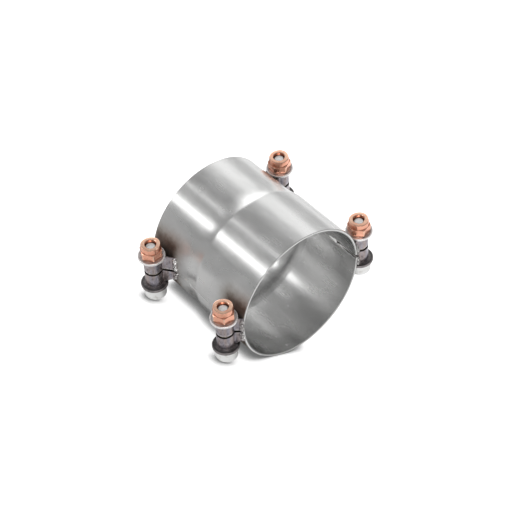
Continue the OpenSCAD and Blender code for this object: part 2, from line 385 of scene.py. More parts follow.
def noise_field(tree, place, per_metre, detail, roughness=0.5):
    """Noise from 0 to 1 whose features come per_metre to the metre, which may differ by axis."""
    scale = per_metre if isinstance(per_metre, tuple) else (per_metre,) * 3
    scaled = add_node(tree, "ShaderNodeMapping", {"Vector": place, "Scale": scale})
    inputs = {"Vector": scaled.outputs["Vector"], "Scale": 1.0, "Detail": detail, "Roughness": roughness}
    return add_node(tree, "ShaderNodeTexNoise", inputs).outputs["Fac"]


def new_metal(name, metallic=1.0):
    """A material with a metal shader, and its tree and shader. Matt plating is less metallic."""
    material = bpy.data.materials.new(name)
    material.use_nodes = True
    tree = material.node_tree
    shader = tree.nodes["Principled BSDF"]
    shader.inputs["Metallic"].default_value = metallic
    return material, tree, shader


def dress(tree, shader, base, rough, height, depth):
    """Gives a shader its colour, its roughness and the relief of a height that is so deep."""
    relief = add_node(tree, "ShaderNodeBump", {"Height": height, "Distance": depth}).outputs["Normal"]
    for socket, value in (("Base Color", base), ("Roughness", rough), ("Normal", relief)):
        tree.links.new(value, shader.inputs[socket])


def mark(tree, name):
    """What the mesh's corners are marked with under a name, from 0 to 1."""
    return add_node(tree, "ShaderNodeAttribute", attribute_name=name).outputs["Fac"]


def shaded(tone, share):
    """A tone with that share of its brightness."""
    return tuple(min(1, c * share) for c in tone)


def distance_to_lugs(tree, place, settings):
    """Distance in metres from the nearest lugs and nut, taken as a flat box on the tube's outside."""
    nearest = None
    for bolt in BOLTS:
        height = settings.front_tint_and_shade if bolt.side < 0 else settings.back_tint_and_shade
        steps = (("SUBTRACT", (bolt.x, bolt.side * bolt.tube_r, 0)), ("ABSOLUTE", (0, 0, 0)),
                 ("SUBTRACT", (settings.tint_and_shade_run, settings.tint_and_shade_depth, height)),
                 ("MAXIMUM", (0, 0, 0)), ("LENGTH", (0, 0, 0)))
        outputs = [place]
        for operation, by in steps:
            outputs = add_node(
                tree, "ShaderNodeVectorMath", {0: outputs[0], 1: by}, operation=operation).outputs
        far = outputs["Value"]
        nearest = far if nearest is None else math_node(tree, "MINIMUM", nearest, far)
    return nearest


def distance_from_axis(tree, parts):
    squares = [product(tree, parts[axis], parts[axis]) for axis in ("Y", "Z")]
    return math_node(tree, "SQRT", total(tree, *squares))


def satin_stainless(settings):
    """Satin sheet: soft clouding and faint grain along the tube; cut ends, partly bare metal and partly
    a painted highlight line; a painted highlight where light comes through the back seam; and a tint
    outside beside the welds, partly heat tint and partly painted shade of the nuts."""
    material, tree, shader = new_metal("satin_stainless")
    place = own_coordinates(tree)
    parts = add_node(tree, "ShaderNodeSeparateXYZ", {"Vector": place}).outputs
    grain = noise_field(tree, place, (90, 900, 900), 3.0, 0.6)
    cloud = noise_field(tree, place, (60, 150, 150), 3.0, 0.5)
    wave = noise_field(tree, place, (10, 24, 24), 1.0)
    ragged = noise_field(tree, place, 420, 4.0, 0.6)

    along = parts["X"]
    outer_r = remap(tree, along, JOGGLE_FAR_X - 6 * MM, JOGGLE_NEAR_X + MM, FAR_R, NEAR_R)
    skin = math_node(tree, "SUBTRACT", outer_r, distance_from_axis(tree, parts))
    outside = remap(tree, skin, 0.5 * MM, 0.9 * MM, 1.0, 0.0)
    # The cut ends are painted pale: partly bare cut metal, partly a painted highlight line, brightest along the
    # wall's middle and darker towards its faces.
    to_far_end = math_node(tree, "SUBTRACT", along, FAR_X)
    to_near_end = math_node(tree, "SUBTRACT", NEAR_X, along)
    cut = remap(tree, math_node(tree, "MINIMUM", to_far_end, to_near_end), 0.12 * MM, 0.3 * MM, 1.0, 0.0)
    off_middle = math_node(tree, "ABSOLUTE", math_node(tree, "SUBTRACT", skin, WALL / 2))
    cut_highlight_falloff = remap(tree, off_middle, 0.1 * MM, 0.5 * MM, 0.0, 0.85)
    cut_highlight_color = mix_colors(tree, cut_highlight_falloff, settings.cut, shaded(settings.steel, 0.45))

    # Along the back seam's near end the sheet is painted pale: partly its cut edge, partly a painted highlight
    # where light comes through the slit.
    from_seam = math_node(tree, "ABSOLUTE", parts["Z"])
    at_back = product(tree, remap(tree, parts["Y"], 0.0, MM), remap(tree, along, 14 * MM, 20 * MM))
    seam = product(tree, remap(tree, from_seam, 2.0 * MM, 2.3 * MM, 1.0, 0.0), at_back)

    # The tint beside the lugs is partly heat tint and partly painted shade, reaching higher beside the front lugs,
    # where the nuts shade the shell.
    reach = distance_to_lugs(tree, place, settings)
    torn = total(tree, reach, product(tree, ragged, 4.0 * MM))
    fade = product(tree, remap(tree, torn, 3.0 * MM, 13.0 * MM, 0.9, 0.0), outside)
    burn_and_shade = product(tree, remap(tree, torn, 1.0 * MM, 7.0 * MM, 0.95, 0.0), outside)

    deep, pale = shaded(settings.steel, 0.94), shaded(settings.steel, 1.03)
    steel = mix_colors(tree, remap(tree, cloud, 0.3, 0.7), deep, pale)
    tinted_and_shaded = mix_colors(tree, fade, steel, settings.straw_and_shade)
    scorched_and_shaded = mix_colors(tree, burn_and_shade, tinted_and_shaded, settings.scorch_and_shade)
    slit_lit = mix_colors(tree, seam, scorched_and_shaded, settings.cut)

    rough = total(tree, remap(tree, cloud, 0.25, 0.75, -0.03, 0.04), settings.roughness)
    rough = total(tree, rough, remap(tree, grain, 0.3, 0.7, -0.01, 0.01))
    dulled = product(tree, remap(tree, torn, 5.0 * MM, 20.0 * MM, 0.42, 0.0), outside)
    rough = total(tree, rough, dulled)
    tree.links.new(remap(tree, cut, 0.0, 1.0, 1.0, 0.35), shader.inputs["Metallic"])
    dress(tree, shader, mix_colors(tree, cut, slit_lit, cut_highlight_color), rough, wave, 0.05 * MM)
    return material


def burnt_strip(settings):
    """Strip darkened by welding heat: soft upright streaks of mauve and blue-grey, painted shade on the
    lower lug's edge at the seam, and painted highlights on chosen edges."""
    material, tree, shader = new_metal("burnt_strip")
    place = own_coordinates(tree)
    streak = noise_field(tree, place, (420, 420, 90), 3.0, 0.55)
    mottle = noise_field(tree, place, (700, 700, 500), 3.0, 0.6)
    speck = noise_field(tree, place, 1700, 2.0, 0.5)
    base = mix_colors(tree, remap(tree, streak, 0.36, 0.66), settings.strip, settings.blush)
    sooty = mix_colors(tree, remap(tree, mottle, 0.30, 0.52, 0.6, 0.0), base, settings.burn_and_shade)
    pale = mix_colors(tree, remap(tree, mottle, 0.58, 0.78, 0.0, 0.5), sooty, settings.edge)
    # Painted shade on the lower lug's edge at the seam.
    grime = mark(tree, "grime")
    shade_paint = mix_colors(tree, grime, pale, shaded(settings.burn_and_shade, 0.3))
    # Chosen rounded edges are painted pale as highlights.
    highlighted = product(tree, mark(tree, "worn"), remap(tree, speck, 0.42, 0.6))
    rough = total(tree, remap(tree, mottle, 0.3, 0.7, 0.38, 0.26), product(tree, grime, 0.4))
    dress(tree, shader, mix_colors(tree, highlighted, shade_paint, settings.edge), rough, mottle, 0.06 * MM)
    return material


def weld_metal(settings):
    """Burnt weld metal, painted darker in its hollows as shade, with painted glints on its ripples' crests and in
    random spots.
    """
    material, tree, shader = new_metal("weld_metal")
    place = own_coordinates(tree)
    pit = noise_field(tree, place, 900, 3.0, 0.6)
    spot = noise_field(tree, place, 1300, 2.0, 0.5)
    # The ripples' crests and random spots are painted as bright glints.
    crest = product(tree, mark(tree, "worn"), 0.4)
    painted_glint = total(tree, remap(tree, spot, 0.49, 0.60), crest)
    painted_glint = math_node(tree, "MINIMUM", painted_glint, 1.0)
    # The hollows of the relief are painted darker, as shade in them.
    dark = mix_colors(tree, remap(tree, pit, 0.35, 0.6), shaded(settings.metal, 0.35), settings.metal)
    rough = remap(tree, painted_glint, 0.0, 1.0, 0.45, 0.18)
    relief = total(tree, pit, spot)
    dress(tree, shader, mix_colors(tree, painted_glint, dark, settings.bright), rough, relief, 0.35 * MM)
    return material


def plated(name, base, stain, highlighted, roughness, metallic, stained):
    """Plating with a fine tumbled grain, stained in random patches, with painted shade where the mesh is
    marked for it and painted highlights where it is marked for them."""
    material, tree, shader = new_metal(name, metallic)
    place = own_coordinates(tree)
    grain = noise_field(tree, place, 1300, 3.0, 0.6)
    patch = noise_field(tree, place, 360, 3.0, 0.6)
    share = product(tree, remap(tree, patch, 0.5, 0.75), stained)
    # Painted shade where the mesh is marked for it, its tone broken by the grain.
    shade_paint = product(tree, mark(tree, "grime"), remap(tree, grain, 0.25, 0.6, 0.55, 1.0))
    share = math_node(tree, "MAXIMUM", share, shade_paint)
    # Bare is the share of painted highlight, where the mesh is marked for it.
    bare = product(tree, mark(tree, "worn"), remap(tree, patch, 0.35, 0.6, 0.4, 1.0))
    tone = mix_colors(tree, bare, mix_colors(tree, share, base, stain), highlighted)
    rough = remap(tree, grain, 0.3, 0.7, roughness - 0.05, roughness + 0.07)
    rough = total(tree, rough, product(tree, share, 0.15))
    dress(tree, shader, tone, rough, grain, 0.03 * MM)
    return material


def put(bm, matrix):
    """Moves a shape, and keeps its faces outwards where the move mirrors it."""
    bmesh.ops.transform(bm, matrix=matrix, verts=bm.verts)
    if matrix.determinant() < 0:
        bmesh.ops.reverse_faces(bm, faces=bm.faces)


def tidy(bm):
    """Closes doubled corners and turns every face outwards."""
    bmesh.ops.remove_doubles(bm, verts=bm.verts, dist=MERGE)
    bmesh.ops.dissolve_degenerate(bm, edges=bm.edges, dist=MERGE)
    bmesh.ops.recalc_face_normals(bm, faces=bm.faces)


def mark_layer(bm, name):
    """A layer of marks on the corners. Making it drops what was held of the corners before."""
    return bm.verts.layers.float.get(name) or bm.verts.layers.float.new(name)


def is_sharp(edge):
    return edge.calc_face_angle() > radians(SHARP)


def round_edges(bm, chosen, width, segments, clamp=True):
    """Rounds the edges that a function chooses, and marks the corners that this makes for a painted highlight."""
    worn = mark_layer(bm, "worn")
    edges = [e for e in bm.edges if e.is_manifold and chosen(e)]
    made = bmesh.ops.bevel(
        bm, geom=edges, offset=width, offset_type="OFFSET", segments=segments, profile=0.5,
        affect="EDGES", clamp_overlap=clamp, material=-1)
    for vert in made["verts"]:
        vert[worn] = 1.0


def swept(bm, geom, axis, angle, steps, cent=(0, 0, 0), dvec=(0, 0, 0)):
    """Sweeps corners and edges round an axis, and gives the last of the corners that this makes."""
    made = bmesh.ops.spin(
        bm, geom=geom, cent=cent, axis=axis, dvec=dvec, angle=angle, steps=steps, use_merge=False,
        use_duplicate=False)
    return [g for g in made["geom_last"] if isinstance(g, bmesh.types.BMVert)]


def next_row(bm, edges):
    """Extrudes a row of edges once, and gives the new corners and edges."""
    made = bmesh.ops.extrude_edge_only(bm, edges=edges)["geom"]
    verts = [g for g in made if isinstance(g, bmesh.types.BMVert)]
    fresh = set(verts)
    edges = [g for g in made if isinstance(g, bmesh.types.BMEdge) and fresh.issuperset(g.verts)]
    return verts, edges


def loft(bm, rings, segments, **marked):
    """Extrudes a loop of edges through rings. A ring is a radius and a height, or a function that
    gives them at an angle. A last ring like the first closes the shape round a hole. The corners of
    the rings listed under a name are marked by that name, such as painted shade and painted highlights."""
    layers = [(mark_layer(bm, name), rings_marked) for name, rings_marked in marked.items()]
    verts = bmesh.ops.create_circle(bm, segments=segments, radius=1.0)["verts"]
    edges = list(dict.fromkeys(e for v in verts for e in v.link_edges))
    for i, ring in enumerate(rings):
        if i:
            verts, edges = next_row(bm, edges)
        for vert in verts:
            angle = atan2(vert.co.y, vert.co.x)
            radius, height = ring(angle) if callable(ring) else ring
            vert.co = (max(radius, POLE) * cos(angle), max(radius, POLE) * sin(angle), height)
            for layer, rings_marked in layers:
                vert[layer] = float(i in rings_marked)


def close_poles(bm):
    """Draws each pole's ring of corners together into one."""
    near = [v for v in bm.verts if v.co.xy.length < 2 * POLE]
    bmesh.ops.remove_doubles(bm, verts=near, dist=4 * POLE)


def new_object(name, bm, material):
    """Makes an object of a shape, and frees the shape."""
    mesh = bpy.data.meshes.new(name)
    bm.to_mesh(mesh)
    bm.free()
    mesh.materials.append(material)
    made = bpy.data.objects.new(name, mesh)
    bpy.context.collection.objects.link(made)
    return made


def new_piece(name, bm, body, node, material, smooth_under=32):
    """Makes a piece of a shape drawn in the sleeve's own frame, and it stands for a CAD node."""
    put(bm, SLEEVE_TO_ROW)
    piece = new_object(name, bm, material)
    piece.data.shade_smooth()
    piece.data.set_sharp_from_angle(angle=radians(smooth_under))
    piece.modifiers.new("even_shading", "WEIGHTED_NORMAL").keep_sharp = True
    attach(piece, body)
    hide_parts(node)
    return piece


def joggle_radius(settings, x, shoulder):
    """Outside radius of the tube at a place along it: a concave sweep out of the far bore, which ends
    in a shoulder of a given length at the near bore."""
    span = settings.sweep + settings.shoulder
    start = JOGGLE_NEAR_X + settings.shoulder_past - span
    sweep = span - shoulder
    steepest = 2 * (NEAR_R - FAR_R) / span
    out = min(sweep, max(0, x - start))
    over = min(shoulder, max(0, x - start - sweep))
    return FAR_R + steepest * (out * out / sweep / 2 + over - over * over / shoulder / 2)


def evenly(start, stop, step):
    """Places from start up to but not at stop, about a step apart."""
    steps = max(1, round((stop - start) / step))
    return [start + (stop - start) * i / steps for i in range(steps)]


def half_shell(settings):
    """The upper half of the stepped tube: its outer face is spun, opened towards the back seam's near
    end, given its wall, and softened inside the joggle."""
    bm = bmesh.new()
    shoulder_end = JOGGLE_NEAR_X + settings.shoulder_past
    sweep_start = shoulder_end - settings.shoulder - settings.sweep
    xs = [FAR_X] + evenly(FAR_X + settings.margin, sweep_start, settings.step)
    xs += evenly(sweep_start, shoulder_end, settings.joggle_step)
    xs += evenly(shoulder_end, NEAR_X - settings.margin, settings.step)
    xs += [NEAR_X - settings.margin, NEAR_X]
    back = settings.back_gap / 2 / NEAR_R
    front = pi - settings.front_gap / 2 / NEAR_R
    radii = [joggle_radius(settings, x, settings.shoulder) for x in xs]
    verts = [bm.verts.new((x, r * cos(back), r * sin(back))) for x, r in zip(xs, radii)]
    edges = [bm.edges.new(pair) for pair in zip(verts, verts[1:])]
    swept(bm, verts + edges, ALONG, front - back, settings.steps)
    for vert in bm.verts:
        angle, radius = atan2(vert.co.z, vert.co.y), vert.co.yz.length
        held = min(1.0, (angle - back) / settings.flare_fade)
        opened = min(1.0, max(0.0, (vert.co.x - settings.flare_from) / settings.flare_run))
        stand = settings.flare + settings.rag * noise.noise(Vector((vert.co.x * SEAM_NOISE, 0, 0)))
        angle += opened * stand / radius * (1 - held)
        radial = Vector((0, cos(angle), sin(angle)))
        vert.co.yz = radial.yz * radius
        spot = Vector((vert.co.x * SHEET_NOISE, vert.co.y * ROUND_NOISE, vert.co.z * ROUND_NOISE))
        vert.co -= radial * settings.unevenness * (0.5 + 0.5 * noise.noise(spot))
    bm.faces.ensure_lookup_table()
    outwards = bm.faces[0].normal.dot(Vector((0, *bm.faces[0].calc_center_median().yz)))
    if outwards < 0:
        bmesh.ops.reverse_faces(bm, faces=bm.faces)
    bmesh.ops.solidify(bm, geom=bm.faces[:], thickness=WALL)
    for vert in bm.verts:
        sharp = joggle_radius(settings, vert.co.x, settings.shoulder)
        if vert.co.yz.length < sharp - WALL / 2:
            soft = joggle_radius(settings, vert.co.x, settings.inner_shoulder)
            vert.co.yz *= 1 + (soft - sharp) / vert.co.yz.length
    bmesh.ops.recalc_face_normals(bm, faces=bm.faces)
    round_edges(bm, is_sharp, settings.edge_round, segments=3)
    return bm


class SLEEVE_OT_half_shells(bpy.types.Operator):
    """Makes the upper and lower half shells"""
    bl_idname = "sleeve.half_shells"
    bl_label = "Half shells"

    def execute(self, context):
        settings = context.scene.sleeve_shells
        steel = satin_stainless(settings)
        for half, level in LEVELS.items():
            bm = half_shell(settings)
            put(bm, Matrix.Diagonal((1, 1, level, 1)))
            new_piece(
                f"{half}_shell", bm, f"{half}_half", f"{half}_half_shell", steel,
                smooth_under=50)
        return {"FINISHED"}


def leg_bend(settings, foot):
    """Where the strip leaves the loop for a foot: the middle of that bend, and how far it turns."""
    away = settings.loop_r + settings.bend_r
    middle = Vector((away * cos(settings.wrap), away * sin(settings.wrap), 0))
    reach = foot - middle
    leaves = atan2(reach.y, reach.x) + acos(settings.bend_r / reach.length)
    return middle, settings.wrap + pi - leaves


def strip_lug(settings, bolt, level):
    """Strip bent round a bolt into a loop, then outwards into two legs with their feet on the tube,
    for a bolt at the origin with the tube towards +Y and the sleeve's middle towards +X."""
    seeds_apart = 9
    bm = bmesh.new()
    low, high = LUG_LOW.z + settings.edge_gap, LUG_HIGH.z
    rise = abs(bolt.y) - bolt.tube_r
    reaches = (settings.foot_reach, min(settings.foot_reach, bolt.to_end - settings.foot_margin))
    wrap, loop_r = settings.wrap, settings.loop_r
    first = bm.verts.new((loop_r * cos(wrap), loop_r * sin(wrap), low))
    last, = swept(bm, [first], UPRIGHT, -(pi + 2 * wrap), settings.loop_steps)
    legs = []
    for tip, reach, way in ((first, reaches[0], 1), (last, reaches[1], -1)):
        middle, turn = leg_bend(settings, Vector((reach, rise, 0)))
        cent = (way * middle.x, middle.y, 0)
        tip, = swept(bm, [tip], UPRIGHT, -way * turn, settings.bend_steps, cent)
        start, foot = tip.co.copy(), Vector((way * reach, rise, low))
        legs.append((foot - start).normalized())
        for i in range(settings.leg_steps):
            tip = bmesh.ops.extrude_vert_indiv(bm, verts=[tip])["verts"][0]
            tip.co = start.lerp(foot, (i + 1) / settings.leg_steps)
    edges = bm.edges[:]
    for i in range(settings.rows):
        verts, edges = next_row(bm, edges)
        for vert in verts:
            vert.co.z = low + (high - low) * (i + 1) / settings.rows
    taper = settings.lower_taper if level < 0 else settings.upper_taper
    for vert in bm.verts:
        out = max(0.0, (vert.co.y - middle.y) / (rise - middle.y))
        if vert.co.x > 0:
            vert.co.x += settings.splay * out * (high - vert.co.z) / (high - low)
        vert.co.z = low + (vert.co.z - low) * (1 - taper * out)
        if abs(vert.co.y - rise) < MERGE:
            surface = abs(bolt.y) - sqrt(bolt.tube_r ** 2 - vert.co.z ** 2)
            leg = legs[0] if vert.co.x > 0 else legs[1]
            vert.co += leg * (surface + settings.sink - vert.co.y) / leg.y
    for vert in bm.verts:
        apart = Vector((bolt.seed * seeds_apart + level, 0, 0))
        stray = noise.noise_vector(vert.co * STRIP_NOISE + apart)
        vert.co += Vector((stray.x, stray.y, 0)) * settings.unevenness
    bmesh.ops.recalc_face_normals(bm, faces=bm.faces)
    outermost = min(bm.faces, key=lambda f: f.calc_center_median().y)
    if outermost.normal.y > 0:
        bmesh.ops.reverse_faces(bm, faces=bm.faces)
    bmesh.ops.solidify(bm, geom=bm.faces[:], thickness=settings.strip_t)
    bmesh.ops.recalc_face_normals(bm, faces=bm.faces)
    round_edges(bm, is_sharp, settings.edge_round, segments=2)
    # The lower lug's edge at the seam is marked for painted shade, where the gap between the lugs shades it;
    # painted highlights stay only on the upper lug's edge at the seam and the lower lug's far edge.
    grime, worn = mark_layer(bm, "grime"), mark_layer(bm, "worn")
    for vert in bm.verts:
        at_seam = vert.co.z < low + settings.edge_round
        vert[grime] = float(level < 0 and vert.co.z < low + settings.edge_round / 2)
        vert[worn] *= float(at_seam == (level > 0))
    return bm


class SLEEVE_OT_lugs(bpy.types.Operator):
    """Makes the eight lugs of bent strip"""
    bl_idname = "sleeve.lugs"
    bl_label = "Lugs"

    def execute(self, context):
        settings = context.scene.sleeve_lugs
        noise.seed_set(settings.seed)
        strip = burnt_strip(settings)
        for bolt in BOLTS:
            for half, level in LEVELS.items():
                bm = strip_lug(settings, bolt, level)
                put(bm, bolt.matrix(level))
                new_piece(f"{half}_strip_lug_{bolt.corner}", bm, f"{half}_half",
                          f"{half}_lug_{bolt.corner}", strip, smooth_under=40)
        return {"FINISHED"}


def weld_bead(bm, settings, bolt, x, lean, top, seed):
    """A rippled bead along the corner between a leg and the tube, drawn on the back, above the seam.
    It stands at x at its top, and leans by that much more at the seam. Its ends are blunt, its
    ripples bow, and its lumps have smaller lumps on them."""
    slimmest, bluntness, bowing = 0.35, 5, 0.35
    ripple_share, fine_share, finer, seeds_apart = 0.3, 0.6, 2.3, 7.3
    worn = mark_layer(bm, "worn")
    low, high = (asin(z / bolt.tube_r) for z in (WELD_LOW.z, top))
    run = bolt.tube_r * (high - low)
    verts = bmesh.ops.create_circle(bm, segments=settings.ring_steps, radius=settings.bead_r)["verts"]
    edges = list(dict.fromkeys(e for v in verts for e in v.link_edges))
    start = Matrix.Rotation(low, 4, "X") @ Matrix.Translation((x, bolt.tube_r, 0))
    bmesh.ops.transform(bm, matrix=start, verts=verts)
    old = set(bm.verts) - set(verts)
    swept(bm, verts + edges, ALONG, high - low, settings.run_steps)
    fresh = [v for v in bm.verts if v not in old]
    rims = [e for e in bm.edges if e.is_boundary]
    bmesh.ops.edgeloop_fill(bm, edges=rims)
    for vert in fresh:
        angle = atan2(vert.co.z, vert.co.y)
        share = (angle - low) / (high - low)
        middle = Vector((x, bolt.tube_r * cos(angle), bolt.tube_r * sin(angle)))
        ends = sqrt(max(0.0, 1 - abs(2 * share - 1) ** bluntness))
        spot = vert.co * BEAD_NOISE + Vector((seed * seeds_apart, 0, 0))
        lump = noise.noise(spot) + fine_share * noise.noise(spot * finer)
        bow = (vert.co.x - x) / settings.bead_r
        wave = sin(2 * pi * (share * run / settings.ripple - bowing * bow * bow))
        swell = slimmest + (1 - slimmest) * ends
        swell += settings.lump / settings.bead_r * (ripple_share * wave + lump)
        vert.co = middle + (vert.co - middle) * swell
        vert.co.x += lean * (1 - share)
        # The ripples' crests are marked for painted glints.
        vert[worn] = max(0.0, wave) * ends
        radius = hypot(vert.co.y, vert.co.z)
        if radius < bolt.tube_r - settings.root:
            vert.co.yz *= (bolt.tube_r - settings.root) / radius


def spatter(bm, settings, bolt, centre, seed):
    """A few small beads of metal thrown on to the tube beside a weld, some of them past its top."""
    smallest, largest, nearest, farthest, past_top, flattened = 0.3, 0.8, 1.6, 3.6, 1.25, 0.7
    draw = random.Random(seed)
    for _ in range(settings.spatters):
        size = draw.uniform(smallest, largest) * settings.spatter_r
        x = centre + draw.choice((-1, 1)) * draw.uniform(nearest, farthest) * MM
        angle = draw.uniform(WELD_LOW.z, WELD_HIGH.z * past_top) / bolt.tube_r
        x = min(x, NEAR_X - MM) if bolt.end > 0 else max(x, FAR_X + MM)
        turn = Matrix.Rotation(angle, 4, "X")
        seat = turn @ Matrix.Translation((x, bolt.tube_r, 0)) @ Matrix.Diagonal((1, flattened, 1, 1))
        bmesh.ops.create_icosphere(bm, subdivisions=2, radius=size, matrix=seat)


class SLEEVE_OT_welds(bpy.types.Operator):
    """Makes the weld beads that hold the lugs to the shells"""
    bl_idname = "sleeve.welds"
    bl_label = "Weld beads"

    def execute(self, context):
        seeds_per_bolt, outer_seed = 10, 5
        settings = context.scene.sleeve_welds
        lugs = context.scene.sleeve_lugs
        metal = weld_metal(settings)
        for bolt in BOLTS:
            for half, level in LEVELS.items():
                bm = bmesh.new()
                seed = seeds_per_bolt * bolt.seed + level
                inner = bolt.x - bolt.end * (lugs.foot_reach + settings.bead_offset)
                reach = min(lugs.foot_reach, bolt.to_end - lugs.foot_margin)
                outer = bolt.x + bolt.end * (reach + settings.bead_offset)
                taper = lugs.lower_taper if level < 0 else lugs.upper_taper
                top = WELD_HIGH.z * (1 - taper)
                weld_bead(bm, settings, bolt, inner, -bolt.end * lugs.splay, top, seed)
                weld_bead(bm, settings, bolt, outer, 0.0, top, seed + outer_seed)
                spatter(bm, settings, bolt, inner, seed)
                bmesh.ops.recalc_face_normals(bm, faces=bm.faces)
                put(bm, Matrix.Diagonal((1, bolt.side, level, 1)))
                new_piece(f"{half}_weld_beads_{bolt.corner}", bm, f"{half}_half",
                          f"{half}_welds_{bolt.corner}", metal, smooth_under=180)
        return {"FINISHED"}


def hexagon_radius(across_flats, angle):
    """Distance from the middle to a hexagon's side, with a corner at angle zero."""
    turn = (angle + radians(30)) % radians(60) - radians(30)
    return across_flats / 2 / cos(radians(30) - abs(turn))


def screw_head(bm, settings):
    """The round head, standing on its socketed face at height zero."""
    head_r = (SCREW_HIGH.x - SCREW_LOW.x) / 2
    head_h = -SEAT_Z - SCREW_LOW.z
    edge, chamfer = settings.head_edge_r, settings.head_top_chamfer
    mouth_r = settings.socket_af / 2 / cos(radians(30)) + settings.socket_mouth
    turns = [radians(90) * i / settings.edge_steps for i in range(settings.edge_steps + 1)]

    def socket(height):
        return lambda angle: (hexagon_radius(settings.socket_af, angle), height)

    rings = [(0, settings.socket_depth + settings.socket_cone), socket(settings.socket_depth),
             socket(settings.socket_lip), (mouth_r, 0)]
    rings += [(head_r - edge + edge * sin(turn), edge - edge * cos(turn)) for turn in turns]
    rings += [(head_r, head_h - chamfer), (head_r - chamfer, head_h), (0, head_h)]
    loft(bm, rings, TURNED_STEPS)
    close_poles(bm)


def screw_thread(bm, settings, bottom, top):
    """A thread from bottom to top: a zigzag spun one turn and raised by one pitch, cut off at both
    ends. The zigzag gives radii and where they lie in one pitch."""
    crest, root = settings.shank_r, settings.shank_r - settings.thread_depth
    zigzag = ((root, 0.06), (crest, 0.44), (crest, 0.56), (root, 0.94))
    spare = 1.5
    threads = int((top - bottom) / settings.pitch + 2 * spare)
    verts = [bm.verts.new((radius, 0, bottom + (i - spare + share) * settings.pitch))
             for i in range(threads) for radius, share in zigzag]
    edges = [bm.edges.new(pair) for pair in zip(verts, verts[1:])]
    rise = (0, 0, settings.pitch / settings.turn_steps)
    swept(bm, verts + edges, UPRIGHT, 2 * pi, settings.turn_steps, dvec=rise)
    bmesh.ops.remove_doubles(bm, verts=bm.verts, dist=MERGE)
    for height, normal in ((bottom, (0, 0, -1)), (top, (0, 0, 1))):
        geom = bm.verts[:] + bm.edges[:] + bm.faces[:]
        bmesh.ops.bisect_plane(
            bm, geom=geom, plane_co=(0, 0, height), plane_no=normal, clear_outer=True, dist=MERGE)
        rim = [e for e in bm.edges
               if e.is_boundary and all(abs(v.co.z - height) < MERGE for v in e.verts)]
        bmesh.ops.edgeloop_fill(bm, edges=rim)
    for vert in bm.verts:
        limit = settings.shank_r - max(0.0, vert.co.z - (top - settings.end_chamfer))
        if vert.co.xy.length > limit:
            vert.co.xy *= limit / vert.co.xy.length


def cap_screw(settings):
    """A screw about the bolt's axis, with its head below. Its thread and the rim of its end are
    marked for painted shade, as in the nut's recess."""
    bm = bmesh.new()
    grime = mark_layer(bm, "grime")
    screw_thread(bm, settings, -SEAT_Z - settings.pitch / 2, SCREW_HIGH.z)
    for vert in bm.verts:
        vert[grime] = 1.0
    top = [f for f in bm.faces if abs(f.calc_center_median().z - SCREW_HIGH.z) < MERGE]
    bmesh.ops.inset_region(bm, faces=top, thickness=settings.end_shade_rim, depth=0)
    for vert in top[0].verts:
        vert[grime] = 0.0
    thread = set(bm.verts)
    screw_head(bm, settings)
    head = [v for v in bm.verts if v not in thread]
    bmesh.ops.translate(bm, verts=head, vec=(0, 0, SCREW_LOW.z))
    bmesh.ops.recalc_face_normals(bm, faces=bm.faces)
    return bm


class SLEEVE_OT_screws(bpy.types.Operator):
    """Makes the four socket-head screws, heads down"""
    bl_idname = "sleeve.screws"
    bl_label = "Screws"

    def execute(self, context):
        settings = context.scene.sleeve_screws
        # Speck is the colour of random stains in the plating and of the painted shade on the thread and round the
        # screw's end.
        zinc = plated("bright_zinc", settings.zinc, settings.speck, settings.zinc,
                      roughness=0.34, metallic=0.45, stained=0.35)
        for bolt in BOLTS:
            bm = cap_screw(settings)
            turn = Matrix.Rotation(settings.turn + settings.turn_more * bolt.seed, 4, "Z")
            put(bm, Matrix.Translation((bolt.x, bolt.y, 0)) @ turn)
            new_piece(f"socket_screw_{bolt.corner}", bm, "lower_half",
                      f"cap_screw_{bolt.corner}", zinc)
        return {"FINISHED"}


def washer(settings, bottom):
    """A punched washer, its edges rounded."""
    bm = bmesh.new()
    outer_r = (WASHER_HIGH.x - WASHER_LOW.x) / 2
    top = bottom + WASHER_HIGH.z - WASHER_LOW.z
    brim_r = outer_r - settings.brim
    rings = [(settings.hole_r, bottom), (brim_r, bottom), (outer_r, bottom), (outer_r, top),
             (brim_r, top), (settings.hole_r, top), (settings.hole_r, bottom)]
    # The faces near the hole are marked for painted shade, where the nuts and heads shade them; the brim beyond
    # stays pale.
    loft(bm, rings, TURNED_STEPS, grime=(0, 1, 4, 5, 6))
    tidy(bm)
    round_edges(bm, is_sharp, settings.edge_round, segments=3)
    return bm


class SLEEVE_OT_washers(bpy.types.Operator):
    """Makes the washers under the nuts and by the screw heads"""
    bl_idname = "sleeve.washers"
    bl_label = "Washers"

    def execute(self, context):
        settings = context.scene.sleeve_washers
        # The washers under the nuts and by the heads are lit and shaded copies of one washer: the first painted
        # pale, with a painted pink reflection of the copper nuts and painted highlights on their edges; the second
        # painted dark as shade, with paler painted highlights on their edges.
        bright = plated("bright_washer", settings.bright, settings.stain, settings.rim,
                        roughness=0.27, metallic=0.75, stained=0.35)
        dull = plated("dull_washer", settings.dull, shaded(settings.dull, 0.5), settings.stain,
                      roughness=0.4, metallic=1.0, stained=0.35)
        for bolt in BOLTS:
            for kind, node, bottom, body, finish in (
                    ("nut", "nut_washer", WASHER_LOW.z, "upper_half", bright),
                    ("head", "head_washer", -SEAT_Z, "lower_half", dull)):
                bm = washer(settings, bottom)
                put(bm, Matrix.Translation((bolt.x, bolt.y, 0)))
                new_piece(f"washer_by_{kind}_{bolt.corner}", bm, body,
                          f"{node}_{bolt.corner}", finish)
        return {"FINISHED"}


